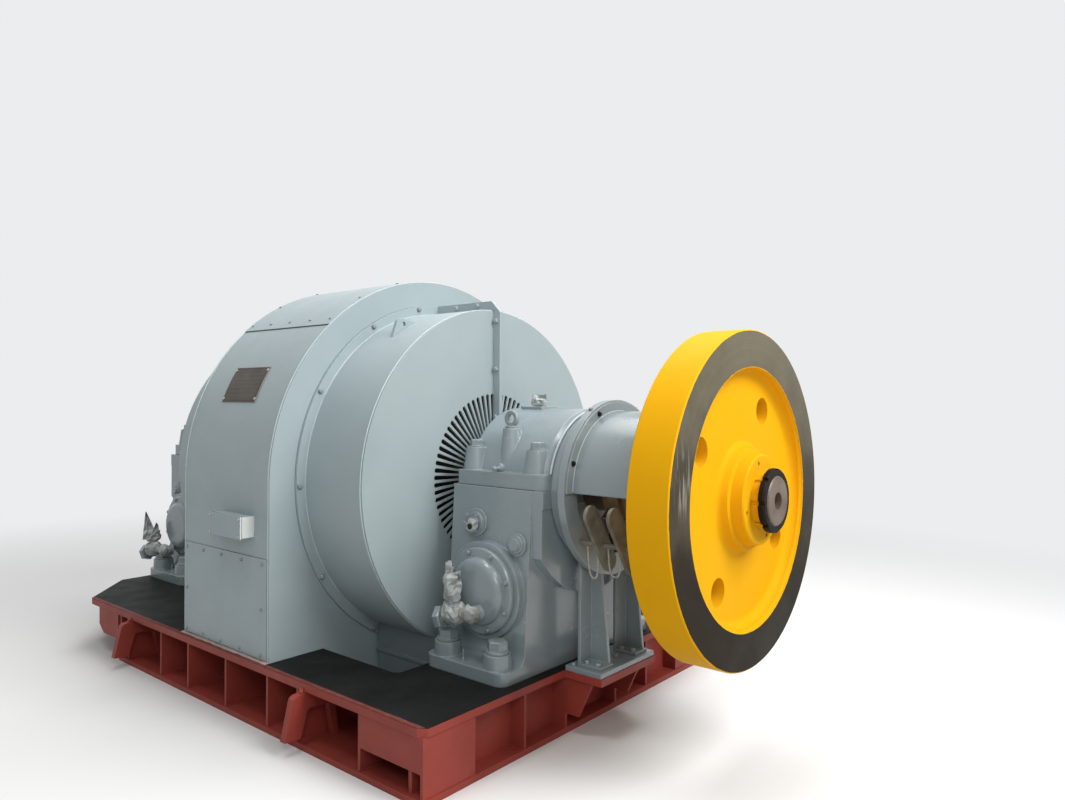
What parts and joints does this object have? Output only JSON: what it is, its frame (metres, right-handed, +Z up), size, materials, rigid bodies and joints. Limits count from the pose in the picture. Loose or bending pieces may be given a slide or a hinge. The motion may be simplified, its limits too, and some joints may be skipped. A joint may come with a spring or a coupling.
{
  "type": "hydroelectric generator",
  "caption": "Horizontal generator with an arched housing, round slotted air covers, two pedestal bearings, an overhung flywheel and brush gear on a fabricated base frame.",
  "frame": {"origin": "on the floor under the base frame, below the shaft axis at the middle of the housing", "axes": "+X along the shaft towards the flywheel, +Z up, +Y to the left of someone who looks along +X"},
  "size_m": [4.94, 2.55, 2.3448],
  "materials": {
    "base_red": "red oxide paint, satin, dusty and chipped",
    "deck_black": "dark painted sheet, satin, scuffed",
    "housing_grey": "light blue-grey machine paint, semi-gloss",
    "bearing_grey": "blue-grey enamel on castings, glossy",
    "plate_bronze": "dark bronze, blank",
    "holder_olive": "aged bronze castings, matt",
    "shaft_steel": "turned steel with a protective film",
    "wheel_yellow": "yellow gloss paint with a turned bare rim face",
    "nut_black": "blackened steel",
    "ring_bronze": "turned bronze rings on a dark sleeve"
  },
  "bodies": {
    "frame": {"base_side_beams": "base_red", "base_end_beams": "base_red", "base_pit_girders": "base_red", "base_cross_members": "base_red", "base_jacking_lugs": "base_red", "base_end_plates": "base_red", "base_side_plates": "base_red", "brush_shelf": "base_red", "deck_sheet": "deck_black", "stator_bed": "housing_grey", "housing_casing": "housing_grey", "housing_front_plate": "housing_grey", "housing_rear_plate": "housing_grey", "side_panels": "housing_grey", "roof_panel": "housing_grey", "nameplate": "plate_bronze", "terminal_box": "housing_grey", "drum_rings": "housing_grey", "front_drum": "housing_grey", "rear_drum": "housing_grey", "front_vent_face": "housing_grey", "rear_vent_face": "housing_grey", "drum_joint_flanges": "housing_grey", "drum_lifting_plates": "housing_grey", "air_boxes": "housing_grey", "front_pedestal": "bearing_grey", "front_bearing_cap": "bearing_grey", "front_side_covers": "bearing_grey", "front_oil_gauges": "bearing_grey", "rear_pedestal": "bearing_grey", "rear_bearing_cap": "bearing_grey", "rear_side_covers": "bearing_grey", "rear_oil_gauges": "bearing_grey", "bearing_lifting_eyes": "bearing_grey", "oil_fittings": "bearing_grey", "brush_end_ring": "bearing_grey", "brush_cover": "bearing_grey", "brush_holders": "holder_olive", "brush_posts": "bearing_grey", "brush_stand_plate": "bearing_grey"},
    "rotor": {"shaft": "shaft_steel", "flywheel": "wheel_yellow", "shaft_collar": "wheel_yellow", "lock_nut": "nut_black", "slip_rings": "ring_bronze"}
  },
  "joints": [
    {"name": "rotor_spin", "type": "hinge", "parent": "frame", "child": "rotor", "pos_m": [0, 0, 1.205], "axis": [1, 0, 0], "continuous": true}
  ]
}
